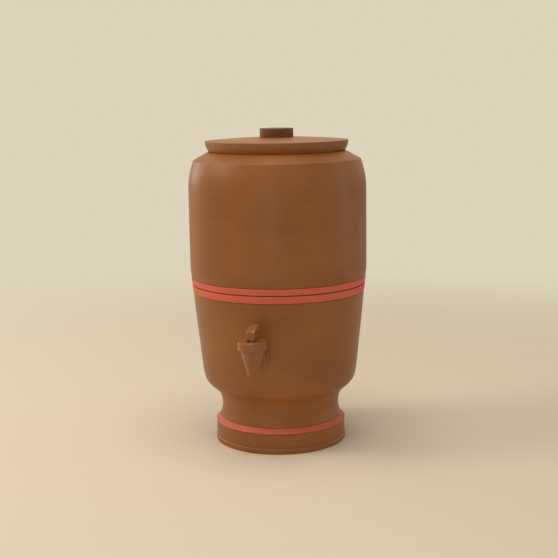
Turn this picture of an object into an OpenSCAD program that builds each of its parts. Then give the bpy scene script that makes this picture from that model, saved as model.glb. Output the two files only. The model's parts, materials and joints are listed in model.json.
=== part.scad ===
// Two-chamber clay water filter with a lever tap.
// Millimetres. The origin is the centre of the foot's ring on the floor, +Z is up and the tap faces -Y.

/* [Foot and lower chamber] */
// Radius of the plinth bead at the floor
bead_r = 100.7; // [96:0.5:106]
// Height of the plinth bead
bead_h = 7.7; // [5:0.1:12]
// Radius of the foot's straight wall
foot_r = 99.9; // [96:0.1:104]
// Height of the foot's straight wall
foot_h = 31; // [26:0.5:34]
// Height of the red band on the foot's shoulder
foot_band_h = 7; // [4:0.5:9]
// Radius where the foot's shoulder meets the neck
foot_shoulder_r = 93.7; // [92:0.1:96]
// Radius of the neck at its narrowest
neck_r = 90.3; // [86:0.1:92]
// Height of the narrowest place of the neck
neck_z = 57; // [50:0.5:62]
// Radius of the belly above its rounded underside
belly_r = 118.4; // [114:0.2:122]
// Height where the belly's rounded underside ends
belly_z = 110; // [106:0.5:116]
// Radius of the pot at the joint of its two chambers
joint_r = 132.2; // [130:0.2:134]
// Height of the joint of the two chambers
joint_z = 245.4; // [225:0.2:265]
// Wall of the lower chamber
lower_wall = 12; // [10:0.5:14]
// Thickness of the lower chamber's floor
lower_floor_t = 13; // [10:0.5:16]
// Height of the lower chamber's floor inside
lower_floor_z = 100; // [98:0.5:104]
// Width of the ring that the foot stands on
foot_ring_w = 14; // [10:0.5:18]

/* [Upper chamber] */
// Radius of the upper chamber's straight wall
upper_r = 134.8; // [133.5:0.1:137]
// Height where the straight wall starts
upper_wall_low_z = 270; // [262:1:290]
// Height where the straight wall rounds towards the shoulder
upper_wall_high_z = 392; // [370:1:398]
// Radius of the shoulder's crease
crease_r = 126.9; // [122:0.1:129]
// Height of the shoulder's crease
crease_z = 432.6; // [425:0.2:436]
// Height of the rim that carries the lid
rim_z = 445; // [442:0.2:455]
// Outer radius of the flat rim
rim_r = 104; // [102.5:0.2:108]
// Radius of the mouth under the lid
mouth_r = 91; // [84:0.5:93]
// Wall of the upper chamber
upper_wall = 11; // [9:0.5:13]
// Thickness of the upper chamber's floor
upper_floor_t = 12; // [10:0.5:15]
// Depth of the spigot that enters the lower chamber
spigot_h = 14; // [10:0.5:18]
// Gap between the spigot and the lower chamber's wall
spigot_gap = 3; // [1.5:0.5:5]

/* [Slip bands] */
// Height of the lower red band
lower_band_h = 11.3; // [8:0.1:14]
// Height of the upper red band
upper_band_h = 10; // [8:0.1:12]
// Thickness of the slip bands
band_t = 0.5; // [0.3:0.1:0.8]
// Radius of the pot at the lower edge of the lower band
band_low_r = 131; // [129.5:0.1:131.8]
// Radius of the pot at the upper edge of the upper band
band_high_r = 133.2; // [132.6:0.1:134]
// Chamfer on each side of the joint line
joint_chamfer = 0.8; // [0.4:0.1:1.2]

/* [Lid] */
// Radius of the lid where it sits
lid_low_r = 102.6; // [101:0.1:103.5]
// Radius of the lid's top edge
lid_edge_r = 108.2; // [106:0.1:112]
// Height of the lid's side
lid_side_h = 16; // [12:0.2:20]
// Rise of the lid's dome above its edge
lid_dome_h = 4.8; // [3:0.2:9]
// Thickness of the lid over its hollow
lid_t = 11; // [9:0.5:14]
// Depth of the lid's skirt in the mouth
lid_skirt_h = 12; // [8:0.5:18]
// Thickness of the lid's skirt
lid_skirt_t = 8; // [6:0.5:10]
// Gap between the skirt and the mouth
lid_gap = 2; // [1:0.5:3.5]
// Radius of the knob
knob_r = 25.3; // [20:0.1:30]
// Height of the knob above the dome
knob_h = 13.2; // [10:0.2:20]
// Radius of the tenon that holds the knob
knob_tenon_r = 9; // [6:0.5:12]
// Depth of the knob's tenon
knob_tenon_h = 6; // [4:0.5:8]

/* [Candles] */
// Distance of each candle from the middle
candle_x = 52; // [46:0.5:58]
// Radius of a ceramic candle
candle_r = 27.5; // [24:0.5:30]
// Height of a candle above its base
candle_h = 92; // [75:1:105]
// Wall of a candle's ceramic shell
candle_wall = 6; // [4:0.5:8]
// Height of the rim of a candle's base
candle_cup_h = 10; // [7:0.5:14]
// Wall of a candle's base
candle_cup_t = 2.6; // [2:0.1:3.5]
// Radius of a candle's hollow stem
stem_r = 5; // [4.5:0.1:5.6]
// Bore of the stem
stem_bore_r = 2.4; // [1.8:0.1:2.8]
// Radius of the holes in the floor
stem_hole_r = 6.6; // [6.2:0.1:7.5]
// Thickness of the rubber rings under the candles
candle_gasket_t = 2.5; // [1.5:0.1:3.5]
// Radius of the rubber rings
candle_gasket_r = 15; // [12:0.5:18]
// Distance over the flats of a candle's nut
candle_nut_w = 24; // [21:0.5:28]
// Height of a candle's nut
candle_nut_h = 7.5; // [6:0.5:10]

/* [Float valves] */
// Radius of a float valve's body
valve_r = 8.6; // [8:0.1:10]
// Height of a float valve's body
valve_h = 16.5; // [15:0.5:20]
// Length of the valve's nozzle
nozzle_h = 4; // [3:0.5:6]
// Radius of the nozzle
nozzle_r = 4; // [3.4:0.1:4.6]
// Distance of the arm's pin from the nozzle
pin_y = 13; // [12:0.5:15]
// Radius of the arm's pin
float_pin_r = 1.5; // [1.2:0.1:1.7]
// Width of the float's arm
arm_w = 8; // [7:0.5:9]
// Thickness of the float's arm
arm_t = 3; // [2.5:0.1:4]
// Radius of a float
float_r = 15; // [12:0.5:17]
// Height of a float
float_h = 27; // [22:1:32]
// Distance of the float's middle from the nozzle
float_y = 20; // [17:0.5:26]
// Angle that an arm drops when the chamber empties
float_drop = 24; // [16:1:26]

/* [Tap body] */
// Distance of the tap's upright axis from the pot's middle
tap_y = 160; // [157:0.5:166]
// Height of the tap's shank
shank_z = 154.5; // [150:0.5:156]
// Radius of the shank
shank_r = 8; // [7.5:0.1:9]
// Bore of the shank
shank_bore_r = 4.8; // [4:0.1:5.2]
// Gap between the shank and its hole in the clay
shank_gap = 1; // [0.5:0.1:2]
// Radius of the flange and of the washers
flange_r = 15.6; // [14:0.2:17]
// Thickness of the flange
flange_t = 3; // [2:0.2:4]
// Thickness of a rubber washer
washer_t = 2.5; // [1.5:0.1:3.5]
// Distance over the flats of the inner nut
tap_nut_w = 25; // [22:0.5:28]
// Height of the inner nut
tap_nut_h = 8; // [6:0.5:10]
// Height of the spout's mouth
spout_z = 136.5; // [132:0.5:138]
// Radius of the spout at its mouth
spout_r = 7.7; // [7.2:0.1:8.6]
// Bore of the spout
spout_bore_r = 5.1; // [4.4:0.1:5.3]
// Height of the seat above the spout's mouth
seat_h = 11; // [9:0.5:12]
// Radius of the body under the bonnet
tap_r = 17.8; // [17:0.1:19]
// Wall of the tap's body
tap_wall = 2.3; // [1.8:0.1:2.6]
// Height where the bonnet starts
bonnet_low_z = 174.5; // [171:0.5:175]
// Radius of the bonnet
bonnet_r = 21.2; // [19.8:0.1:23]
// Height of the bonnet
bonnet_h = 12; // [10:0.5:14]
// Thickness of the bonnet's top
bonnet_top_t = 4; // [3:0.1:5]
// Thickness of the bonnet's gasket
bonnet_gasket_t = 1.4; // [0.8:0.1:2]

/* [Tap valve and lever] */
// Radius of the plunger's stem
plunger_r = 3.6; // [3:0.1:4]
// Radius of the plunger's collar
collar_r = 8; // [7:0.1:8.4]
// Height of the rubber seat cup
seat_cup_h = 9; // [7:0.5:10]
// Radius of the seat cup where it seals
seat_cup_r = 7.4; // [6.8:0.1:7.8]
// Wire of the spring
spring_wire = 1.2; // [0.8:0.1:1.5]
// Turns of the spring
spring_turns = 6; // [4:1:7]
// Height of the lever's pin above the bonnet
lever_pin_h = 5.6; // [5.2:0.1:6.5]
// Radius of the lever's pin
lever_pin_r = 1.4; // [1.1:0.1:1.6]
// Rise of the plunger for each radian of the lever
lever_rise = 4; // [3:0.2:4.6]
// Angle that the lever is pulled forward
lever_pull = 45; // [30:1:48]
// Angle that the lever is turned on the tap, with its tip towards +X
lever_yaw = 6; // [0:1:35]
// Width of the lever at its heel
lever_w = 13.4; // [12:0.2:15]
// Width of the lever at its tip
lever_tip_w = 11.4; // [8:0.2:12]
// Height of the lever's knee above its pin
lever_knee_h = 8.4; // [7:0.2:10]
// Distance of the lever's tip behind its pin
lever_tip_u = 17.5; // [12:0.5:18]
// Height of the lever's tip above its pin
lever_tip_v = 16; // [14:0.2:18]

/* [Hidden] */

$fn = 96;
CLAY = [0.52, 0.34, 0.21];
LID_CLAY = [0.60, 0.41, 0.29];
KNOB_CLAY = [0.40, 0.25, 0.15];
SLIP = [0.76, 0.30, 0.25];
TAP_BROWN = [0.50, 0.32, 0.20];
CERAMIC = [0.93, 0.91, 0.86];
CARBON = [0.12, 0.12, 0.12];
PLASTIC = [0.90, 0.90, 0.88];
RUBBER = [0.22, 0.20, 0.19];
STEEL = [0.72, 0.73, 0.75];
FLOAT_BLUE = [0.30, 0.48, 0.68];

run_gap = 0.05;    // radial gap of a pin that turns
thread_gap = 0.15; // radial gap of a screwed pair
seat_gap = 0.3;    // gap between neighbours that move apart
glue_gap = 0.3;    // joint that glue or slip fills
arc_steps = 7;     // straight pieces in a rounded corner of an outline
curve_steps = 3;   // straight pieces between two stations of a curved outline

function mix(a, b, t) = a + (b - a) * t;

// Points of an arc about c with radius r, from angle a to angle b.
function arc(c, r, a, b, steps = arc_steps) =
    [for (i = [0:steps]) c + r * [cos(mix(a, b, i / steps)), sin(mix(a, b, i / steps))]];

// Growth of the radius with height at station i of an outline p
function flare(p, i) =
    let(a = p[max(0, i - 1)], b = p[min(len(p) - 1, i + 1)])
    (b[0] - a[0]) / (b[1] - a[1]);
// Radius between the stations a and b, whose flares are m and n
function curved_r(a, b, m, n, t) =
    let(h = b[1] - a[1], u = t * t * (3 - 2 * t))
    mix(a[0], b[0], u) + h * (m * t * (1 - t) * (1 - t) - n * t * t * (1 - t));
// A smooth outline through the stations p, without the last one
function curve(p) = [
    for (i = [0:len(p) - 2])
        for (t = [0:1 / curve_steps:1 - 0.5 / curve_steps])
            [curved_r(p[i], p[i + 1], flare(p, i), flare(p, i + 1), t), mix(p[i][1], p[i + 1][1], t)]
];

// ---- Foot and lower chamber ----

foot_band_z = foot_h + foot_band_h;
lower_band_z = joint_z - lower_band_h;
upper_band_z = joint_z + upper_band_h;
// Radii where the chamfers of the joint line start
lower_chamfer_r = mix(joint_r, band_low_r, joint_chamfer / lower_band_h);
upper_chamfer_r = mix(joint_r, band_high_r, joint_chamfer / upper_band_h);

// Outline of the clay from the neck to the lower edge of the band
neck_stations = [
    [foot_shoulder_r, foot_band_z],
    [mix(neck_r, foot_shoulder_r, 0.5), mix(foot_band_z, neck_z, 0.35)],
    [neck_r, neck_z],
    [mix(neck_r, belly_r, 0.08), mix(neck_z, belly_z, 0.24)],
    [mix(neck_r, belly_r, 0.20), mix(neck_z, belly_z, 0.38)],
    [mix(neck_r, belly_r, 0.46), mix(neck_z, belly_z, 0.515)],
    [mix(neck_r, belly_r, 0.72), mix(neck_z, belly_z, 0.64)],
    [mix(neck_r, belly_r, 0.89), mix(neck_z, belly_z, 0.77)],
    [belly_r, belly_z],
    [mix(belly_r, band_low_r, 0.42), mix(belly_z, lower_band_z, 0.40)],
    [mix(belly_r, band_low_r, 0.78), mix(belly_z, lower_band_z, 0.74)],
    [band_low_r, lower_band_z]
];

// Outer radius at height z of the clay whose outline passes through the points p
function clay_r(p, z) = lookup(z, [for (s = p) [s[1], s[0]]]);
function lower_wall_r(z) = clay_r(concat(neck_stations, [[joint_r, joint_z]]), z);

tap_hole_r = shank_r + shank_gap;
// Planes that are cut flat on the wall for the tap's washers
outer_seat_y = sqrt(pow(lower_wall_r(shank_z - flange_r), 2) - pow(flange_r, 2)) - 0.3;
inner_seat_y = lower_wall_r(shank_z + flange_r) - lower_wall + 1;
seat_recess_r = flange_r + 0.8;

foot_hollow_r = bead_r - foot_ring_w;
neck_inner_r = neck_r - lower_wall;
neck_outline = curve(neck_stations);
// The chamber's underside, where the foot is luted on
seam_z = lower_floor_z - lower_floor_t;
seam_edge = [lower_wall_r(seam_z), seam_z];
hollow_corner = 16; // rounding at the top of the foot's hollow
floor_corner = 14;  // rounding between the chamber's floor and its wall

module foot() {
    outside = concat(
        [[foot_hollow_r, 0], [bead_r - 0.8, 0], [bead_r, 0.8], [bead_r, bead_h - 0.6]],
        [[foot_r, bead_h], [foot_r, foot_h], [foot_shoulder_r, foot_band_z]],
        [for (p = neck_outline) if (p[1] < seam_z) p],
        [seam_edge]
    );
    inside = concat(
        arc([neck_inner_r - hollow_corner, seam_z - hollow_corner], hollow_corner, 90, 0),
        [[neck_inner_r, neck_z]]
    );
    color(CLAY) rotate_extrude($fn = 180) polygon(concat(outside, inside));
}

module lower_chamber() {
    outside = concat(
        [[0, seam_z], seam_edge],
        [for (p = neck_outline) if (p[1] > seam_z) p],
        [[band_low_r, lower_band_z], [lower_chamfer_r, joint_z - joint_chamfer]],
        [[joint_r - joint_chamfer, joint_z]]
    );
    mouth = joint_r - lower_wall;
    floor_r = lower_wall_r(lower_floor_z + floor_corner) - lower_wall;
    inside = concat(
        [[mouth, joint_z], [band_low_r - lower_wall, lower_band_z]],
        [[mix(belly_r, band_low_r, 0.42) - lower_wall, mix(belly_z, lower_band_z, 0.40)]],
        arc([floor_r - floor_corner, lower_floor_z + floor_corner], floor_corner, 0, -90),
        [[0, lower_floor_z]]
    );
    color(CLAY)
        difference() {
            rotate_extrude($fn = 180) polygon(concat(outside, inside));
            translate([0, 0, shank_z]) rotate([90, 0, 0]) cylinder(r = tap_hole_r, h = tap_y);
            translate([0, -outer_seat_y, shank_z]) rotate([90, 0, 0]) cylinder(r = seat_recess_r, h = tap_y);
            translate([0, -inner_seat_y, shank_z]) rotate([-90, 0, 0]) cylinder(r = seat_recess_r, h = 20);
        }
}

// A ring of slip whose inner face is the clay's cone between two heights
module slip_ring(low_r, low_z, high_r, high_z) {
    color(SLIP)
        rotate_extrude($fn = 180)
            polygon([
                [low_r, low_z], [low_r + band_t, low_z + 0.2],
                [high_r + band_t, high_z - 0.2], [high_r, high_z]
            ]);
}

module foot_band() {
    slip_ring(foot_r, foot_h, foot_shoulder_r, foot_band_z);
}

module lower_band() {
    slip_ring(band_low_r, lower_band_z, lower_chamfer_r, joint_z - joint_chamfer);
}

module upper_band() {
    slip_ring(upper_chamfer_r, joint_z + joint_chamfer, band_high_r, upper_band_z);
}

// ---- Upper chamber ----

upper_floor_low = joint_z - spigot_h;
// The spigot tapers with the wall that it enters
spigot_r = joint_r - lower_wall - spigot_gap;
spigot_low_r = lower_wall_r(upper_floor_low) - lower_wall - spigot_gap;
upper_floor_z = upper_floor_low + upper_floor_t;
candle_sides = [-1, 1];

upper_stations = [
    [band_high_r, upper_band_z],
    [mix(band_high_r, upper_r, 0.6), mix(upper_band_z, upper_wall_low_z, 0.45)],
    [upper_r, upper_wall_low_z],
    [upper_r, upper_wall_high_z],
    [mix(crease_r, upper_r, 0.93), mix(upper_wall_high_z, crease_z, 0.32)],
    [mix(crease_r, upper_r, 0.66), mix(upper_wall_high_z, crease_z, 0.53)],
    [crease_r, crease_z]
];

upper_floor_corner = 16; // rounding between the upper chamber's floor and its wall

module upper_chamber() {
    outside = concat(
        [[0, upper_floor_low], [spigot_low_r - 2, upper_floor_low]],
        [[spigot_low_r, upper_floor_low + 2], [spigot_r, joint_z]],
        [[joint_r - joint_chamfer, joint_z], [upper_chamfer_r, joint_z + joint_chamfer]],
        curve(upper_stations),
        [[crease_r, crease_z], [rim_r, rim_z]]
    );
    inner_r = upper_r - upper_wall;
    corner_z = upper_floor_z + upper_floor_corner;
    corner_r = clay_r(concat([[joint_r, joint_z]], upper_stations), corner_z) - upper_wall;
    inside = concat(
        [[mouth_r + 1, rim_z], [mouth_r, rim_z - 1], [mouth_r, rim_z - 10]],
        [[crease_r - upper_wall - 3, crease_z - 9], [inner_r, upper_wall_high_z]],
        [[inner_r, max(upper_wall_low_z, corner_z + 1)]],
        arc([corner_r - upper_floor_corner, corner_z], upper_floor_corner, 0, -90),
        [[0, upper_floor_z]]
    );
    color(CLAY)
        difference() {
            rotate_extrude($fn = 180) polygon(concat(outside, inside));
            for (side = candle_sides)
                translate([side * candle_x, 0, upper_floor_low - 1])
                    cylinder(r = stem_hole_r, h = upper_floor_t + 2);
        }
}

// ---- Lid ----

lid_edge_z = rim_z + lid_side_h;
lid_top_z = lid_edge_z + lid_dome_h;
skirt_r = mouth_r - lid_gap;
// Radius of the sphere that the lid's dome is part of
dome_r = (pow(lid_edge_r, 2) + pow(lid_dome_h, 2)) / (2 * lid_dome_h);
dome_angle = asin(lid_edge_r / dome_r);

module lid() {
    hollow_z = lid_top_z - lid_t;
    outline = concat(
        [[skirt_r - lid_skirt_t, rim_z - lid_skirt_h], [skirt_r - 1, rim_z - lid_skirt_h]],
        [[skirt_r, rim_z - lid_skirt_h + 1], [skirt_r, rim_z], [lid_low_r, rim_z]],
        [[mix(lid_low_r, lid_edge_r, 0.4), rim_z + lid_side_h * 0.22]],
        [[mix(lid_low_r, lid_edge_r, 0.74), rim_z + lid_side_h * 0.5]],
        [[mix(lid_low_r, lid_edge_r, 0.95), rim_z + lid_side_h * 0.78]],
        arc([0, lid_top_z - dome_r], dome_r, 90 - dome_angle, 90, 12),
        [[0, hollow_z]],
        arc([skirt_r - lid_skirt_t - 8, hollow_z - 8], 8, 90, 0)
    );
    color(LID_CLAY)
        difference() {
            rotate_extrude($fn = 180) polygon(outline);
            translate([0, 0, lid_top_z - knob_tenon_h])
                cylinder(r = knob_tenon_r + glue_gap, h = knob_tenon_h + 5);
        }
}

module lid_knob() {
    // The knob's underside follows the dome from its rim to its tenon
    rim_angle = 90 - asin(knob_r / dome_r);
    tenon_angle = 90 - asin(knob_tenon_r / dome_r);
    top = lid_top_z + knob_h;
    tenon_z = lid_top_z - knob_tenon_h + glue_gap;
    color(KNOB_CLAY)
        rotate_extrude($fn = 120)
            polygon(concat(
                [[0, tenon_z], [knob_tenon_r, tenon_z]],
                arc([0, lid_top_z - dome_r], dome_r, tenon_angle, rim_angle, 3),
                [[knob_r, top - 1], [knob_r - 1, top], [0, top]]
            ));
}

// ---- Filter candles ----

candle_base_z = upper_floor_z + candle_gasket_t;
candle_cup_z = candle_base_z + candle_cup_t;
candle_rim_z = candle_base_z + candle_cup_h;
stem_low_z = upper_floor_low - candle_nut_h - valve_h * 0.6;
valve_top_z = upper_floor_low - candle_nut_h;

module candle_shell(side) {
    inner_r = candle_r - candle_wall;
    dome_z = candle_cup_z + candle_h - candle_r;
    color(CERAMIC)
        translate([side * candle_x, 0, 0])
            rotate_extrude()
                polygon(concat(
                    [[inner_r, candle_cup_z], [candle_r, candle_cup_z]],
                    arc([0, dome_z], candle_r, 0, 90, 12),
                    arc([0, dome_z], inner_r, 90, 0, 12)
                ));
}

module candle_core(side) {
    core_r = candle_r - candle_wall - glue_gap;
    color(CARBON)
        translate([side * candle_x, 0, candle_cup_z])
            cylinder(r = core_r, h = candle_h - candle_r - glue_gap);
}

module candle_base(side) {
    rim_in = candle_r + glue_gap;
    rim_out = rim_in + candle_cup_t;
    color(PLASTIC)
        translate([side * candle_x, 0, 0])
            rotate_extrude()
                polygon([
                    [stem_bore_r, stem_low_z], [stem_r, stem_low_z], [stem_r, candle_base_z],
                    [rim_out - 1, candle_base_z], [rim_out, candle_base_z + 1],
                    [rim_out, candle_rim_z], [rim_in, candle_rim_z],
                    [rim_in, candle_cup_z], [stem_bore_r, candle_cup_z]
                ]);
}

module ring(r, bore, h) {
    difference() {
        cylinder(r = r, h = h);
        translate([0, 0, -1]) cylinder(r = bore, h = h + 2);
    }
}

// A six-sided nut with a round bore
module hex_nut(flats, bore, h) {
    difference() {
        cylinder(d = flats / cos(30), h = h, $fn = 6);
        translate([0, 0, -1]) cylinder(r = bore, h = h + 2, $fn = 96);
    }
}

module candle_gaskets() {
    color(RUBBER)
        for (side = candle_sides)
            translate([side * candle_x, 0, upper_floor_z])
                ring(candle_gasket_r, stem_r + thread_gap, candle_gasket_t);
}

module candle_nuts() {
    color(PLASTIC)
        for (side = candle_sides)
            translate([side * candle_x, 0, valve_top_z])
                hex_nut(candle_nut_w, stem_r + thread_gap, candle_nut_h);
}

// ---- Float valves ----

valve_low_z = valve_top_z - valve_h;
nozzle_z = valve_low_z - nozzle_h;
pad_r = nozzle_r + 1.6;
pad_t = 2.4;
pad_top_z = nozzle_z - seat_gap;
arm_top_z = pad_top_z - pad_t;
arm_z = arm_top_z - arm_t;
float_pin_z = arm_z + arm_t / 2;
knuckle_r = float_pin_r + 2.2;
ear_gap = 0.3;
ear_t = 2.4;
ear_x = arm_w / 2 + ear_gap;
tail_l = 7;

// Turns what is drawn with the valve shut down to where it hangs with the chamber empty
module hang(side) {
    translate([side * candle_x, -pin_y, float_pin_z])
        rotate([-float_drop, 0, 0])
            translate([0, pin_y, -float_pin_z])
                children();
}

// A round bar of length l on the axis of a float's pin
module along_pin(l, r) {
    translate([-l / 2, -pin_y, float_pin_z]) rotate([0, 90, 0]) cylinder(r = r, h = l);
}

module float_valve(side) {
    // The bar that stops the arm's tail
    bar_z = float_pin_z + tail_l * sin(float_drop) + arm_t / 2 * cos(float_drop) + seat_gap;
    color(PLASTIC)
        translate([side * candle_x, 0, 0])
            difference() {
                union() {
                    translate([0, 0, valve_low_z]) cylinder(r = valve_r, h = valve_h);
                    translate([0, 0, nozzle_z]) cylinder(r = nozzle_r, h = nozzle_h + 1);
                    for (x = [-ear_x - ear_t, ear_x])
                        translate([x, -pin_y, float_pin_z])
                            rotate([90, 0, 90]) linear_extrude(ear_t) ear_outline();
                    translate([-ear_x - 0.1, -pin_y - tail_l, bar_z]) cube([2 * ear_x + 0.2, tail_l, 2.4]);
                }
                translate([0, 0, stem_low_z - seat_gap]) cylinder(r = stem_r + thread_gap, h = valve_h);
                translate([0, 0, nozzle_z - 1]) cylinder(r = stem_bore_r - 0.6, h = valve_h);
                along_pin(2 * arm_w, float_pin_r);
            }
}

// Outline of one ear, with the pin at its origin
module ear_outline() {
    top = valve_low_z - float_pin_z + 3;
    circle(r = knuckle_r);
    polygon([
        [-tail_l, top], [-tail_l, top - 5], [-knuckle_r, 0],
        [knuckle_r, 0], [pin_y - 6, top - 3], [pin_y - 3, top]
    ]);
}

module float_arm(side) {
    reach = float_y + 6;
    color(PLASTIC)
        hang(side)
            difference() {
                union() {
                    translate([-arm_w / 2, -pin_y - tail_l, arm_z])
                        cube([arm_w, pin_y + tail_l + reach, arm_t]);
                    along_pin(arm_w, knuckle_r);
                    translate([0, 0, arm_z]) cylinder(r = pad_r + 1, h = arm_t);
                }
                along_pin(2 * arm_w, float_pin_r + run_gap);
            }
}

module float_pad(side) {
    color(RUBBER)
        hang(side)
            translate([0, 0, arm_top_z]) cylinder(r = pad_r, h = pad_t);
}

module float_ball(side) {
    low = arm_z - float_h;
    color(FLOAT_BLUE)
        hang(side)
            translate([0, float_y, 0])
                rotate_extrude()
                    polygon(concat(
                        [[0, low]],
                        arc([float_r - 6, low + 6], 6, -90, 0),
                        arc([float_r - 6, arm_z - 6], 6, 0, 90),
                        [[0, arm_z]]
                    ));
}

module float_pins() {
    pin_l = 2 * (ear_x + ear_t);
    color(STEEL)
        for (side = candle_sides)
            translate([side * candle_x, 0, 0]) along_pin(pin_l, float_pin_r);
}

// ---- Tap body ----

seat_z = spout_z + seat_h;
flange_y = outer_seat_y + washer_t;
shank_end_y = inner_seat_y - washer_t - tap_nut_h - 4;
bonnet_z = bonnet_low_z + bonnet_h;
bonnet_under_z = bonnet_z - bonnet_top_t;
body_top_z = bonnet_under_z - bonnet_gasket_t;
thread_r = tap_r - 1;
// Outer radius of the tap's tapering body at height z
function tap_outer_r(z) = mix(spout_r, tap_r, (z - spout_z) / (bonnet_low_z - spout_z));

// Turns what is drawn upright to lie along the shank, from the plane y towards the tap
module along_shank(y) {
    translate([0, -y, shank_z]) rotate([90, 0, 0]) children();
}

module tap_body() {
    chamber_low_r = tap_outer_r(seat_z) - tap_wall;
    chamber_high_r = thread_r - tap_wall;
    color(TAP_BROWN)
        difference() {
            union() {
                translate([0, -tap_y, 0])
                    rotate_extrude()
                        polygon([
                            [0, spout_z], [spout_r - 0.6, spout_z], [spout_r, spout_z + 0.6],
                            [tap_r, bonnet_low_z], [thread_r, bonnet_low_z],
                            [thread_r, body_top_z], [0, body_top_z]
                        ]);
                along_shank(shank_end_y) cylinder(r = shank_r, h = tap_y - shank_end_y);
                along_shank(flange_y) cylinder(r = flange_r, h = flange_t);
            }
            translate([0, -tap_y, 0])
                rotate_extrude()
                    polygon([
                        [0, spout_z - 1], [spout_bore_r, spout_z - 1], [spout_bore_r, seat_z],
                        [chamber_low_r, seat_z], [chamber_high_r, bonnet_low_z],
                        [chamber_high_r, body_top_z + 1], [0, body_top_z + 1]
                    ]);
            along_shank(shank_end_y - 1) cylinder(r = shank_bore_r, h = tap_y - shank_end_y + 1);
        }
}

module tap_outer_washer() {
    color(RUBBER) along_shank(outer_seat_y) ring(flange_r, shank_r + thread_gap, washer_t);
}

module tap_inner_washer() {
    color(RUBBER) along_shank(inner_seat_y - washer_t) ring(flange_r, shank_r + thread_gap, washer_t);
}

module tap_nut() {
    nut_y = inner_seat_y - washer_t - tap_nut_h;
    color(PLASTIC) along_shank(nut_y) hex_nut(tap_nut_w, shank_r + thread_gap, tap_nut_h);
}

module tap_bonnet_gasket() {
    color(RUBBER)
        translate([0, -tap_y, body_top_z]) ring(thread_r - 0.2, thread_r - tap_wall, bonnet_gasket_t);
}

module tap_bonnet() {
    color(TAP_BROWN)
        translate([0, -tap_y, 0])
            rotate_extrude()
                polygon([
                    [thread_r + thread_gap, bonnet_low_z + 0.2], [bonnet_r - 0.8, bonnet_low_z + 0.2],
                    [bonnet_r, bonnet_low_z + 1], [bonnet_r, bonnet_z - 0.8], [bonnet_r - 0.8, bonnet_z],
                    [plunger_r + seat_gap, bonnet_z], [plunger_r + seat_gap, bonnet_under_z],
                    [thread_r + thread_gap, bonnet_under_z]
                ]);
}

// ---- Tap valve ----

collar_t = 2.2;
collar_z = seat_z + seat_cup_h;
nub_r = plunger_r - 0.6;
nub_l = seat_cup_h - 3;
lever_pin_z = bonnet_z + lever_pin_h;

module tap_plunger() {
    color(PLASTIC)
        translate([0, -tap_y, 0])
            difference() {
                rotate_extrude()
                    polygon(concat(
                        [[0, collar_z - nub_l], [nub_r, collar_z - nub_l], [nub_r, collar_z]],
                        [[collar_r, collar_z], [collar_r, collar_z + collar_t]],
                        [[plunger_r, collar_z + collar_t]],
                        arc([0, lever_pin_z], plunger_r, 0, 90)
                    ));
                translate([0, 0, lever_pin_z])
                    rotate([0, 90, -lever_yaw])
                        cylinder(r = lever_pin_r, h = 2 * lever_w, center = true);
            }
}

module tap_seat_cup() {
    color(RUBBER)
        translate([0, -tap_y, 0])
            rotate_extrude()
                polygon([
                    [0, seat_z], [seat_cup_r, seat_z], [seat_cup_r, seat_z + 2], [nub_r + 2, seat_z + 4],
                    [nub_r + 2, collar_z - 1.5], [collar_r - 1, collar_z], [nub_r + run_gap, collar_z],
                    [nub_r + run_gap, collar_z - nub_l - run_gap], [0, collar_z - nub_l - run_gap]
                ]);
}

// ---- Tap spring ----

spring_r = (plunger_r + collar_r) / 2 + 0.4;
spring_low = collar_z + collar_t + spring_wire / 2;
spring_high = bonnet_under_z - spring_wire / 2;
// Rise of the close-wound turn at each end
dead_rise = spring_wire + 0.5;
ring_sides = 8;
turn_rings = 16;
spring_rings = spring_turns * turn_rings;

// Height of the coil's middle at ring i: one dead turn at each end
function coil_z(i) =
    let(turn = i / turn_rings)
    turn < 1 ? spring_low + turn * dead_rise
    : turn > spring_turns - 1 ? spring_high - (spring_turns - turn) * dead_rise
    : mix(spring_low + dead_rise, spring_high - dead_rise, (turn - 1) / (spring_turns - 2));
function coil_point(i, k) =
    let(a = 360 * i / turn_rings, b = 360 * k / ring_sides, r = spring_r + spring_wire / 2 * cos(b))
    [r * cos(a), r * sin(a), coil_z(i) + spring_wire / 2 * sin(b)];

module tap_spring() {
    n = ring_sides;
    points = [for (i = [0:spring_rings]) for (k = [0:n - 1]) coil_point(i, k)];
    sides = [
        for (i = [0:spring_rings - 1])
            for (k = [0:n - 1])
                for (half = [0, 1])
                    let(a = i * n + k, b = i * n + (k + 1) % n)
                    half == 0 ? [a, b, b + n] : [a, b + n, a + n]
    ];
    low_end = [for (k = [1:n - 2]) [0, k + 1, k]];
    last = spring_rings * n;
    high_end = [for (k = [1:n - 2]) [last, last + k, last + k + 1]];
    color(STEEL)
        translate([0, -tap_y, 0]) polyhedron(points, concat(sides, low_end, high_end));
}

// ---- Tap lever ----

// Side view of the lever: u points forward from the pin and v points up.
// The heel is the curve whose distance from the pin grows evenly as the lever turns, so it lifts
// the plunger by lever_rise for each radian.
heel_h = lever_pin_h - 0.1;
heel_steps = 10;
knee_turn = [0, 70];   // angles where the rounding of the knee starts and ends
tip_turn = [100, 190]; // the same for the tip
function heel(a) =
    let(h = heel_h + lever_rise * a * PI / 180)
    [h * sin(a) + lever_rise * cos(a), -h * cos(a) + lever_rise * sin(a)];
lever_front_u = heel(lever_pull)[0];
lever_back_u = plunger_r + 3.4;
lever_t = 4.6;

module lever_side() {
    tip = [-lever_tip_u, lever_tip_v];
    polygon(concat(
        [[-lever_back_u, -heel_h]],
        [for (i = [0:heel_steps]) heel(lever_pull * i / heel_steps)],
        arc([lever_front_u - 1, lever_knee_h - 1], 1, knee_turn[0], knee_turn[1], 3),
        arc(tip + [1, -1], 1, tip_turn[0], tip_turn[1], 4),
        [tip + [1, -lever_t], [-lever_back_u, lever_knee_h - lever_t / 2]]
    ));
}

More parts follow.
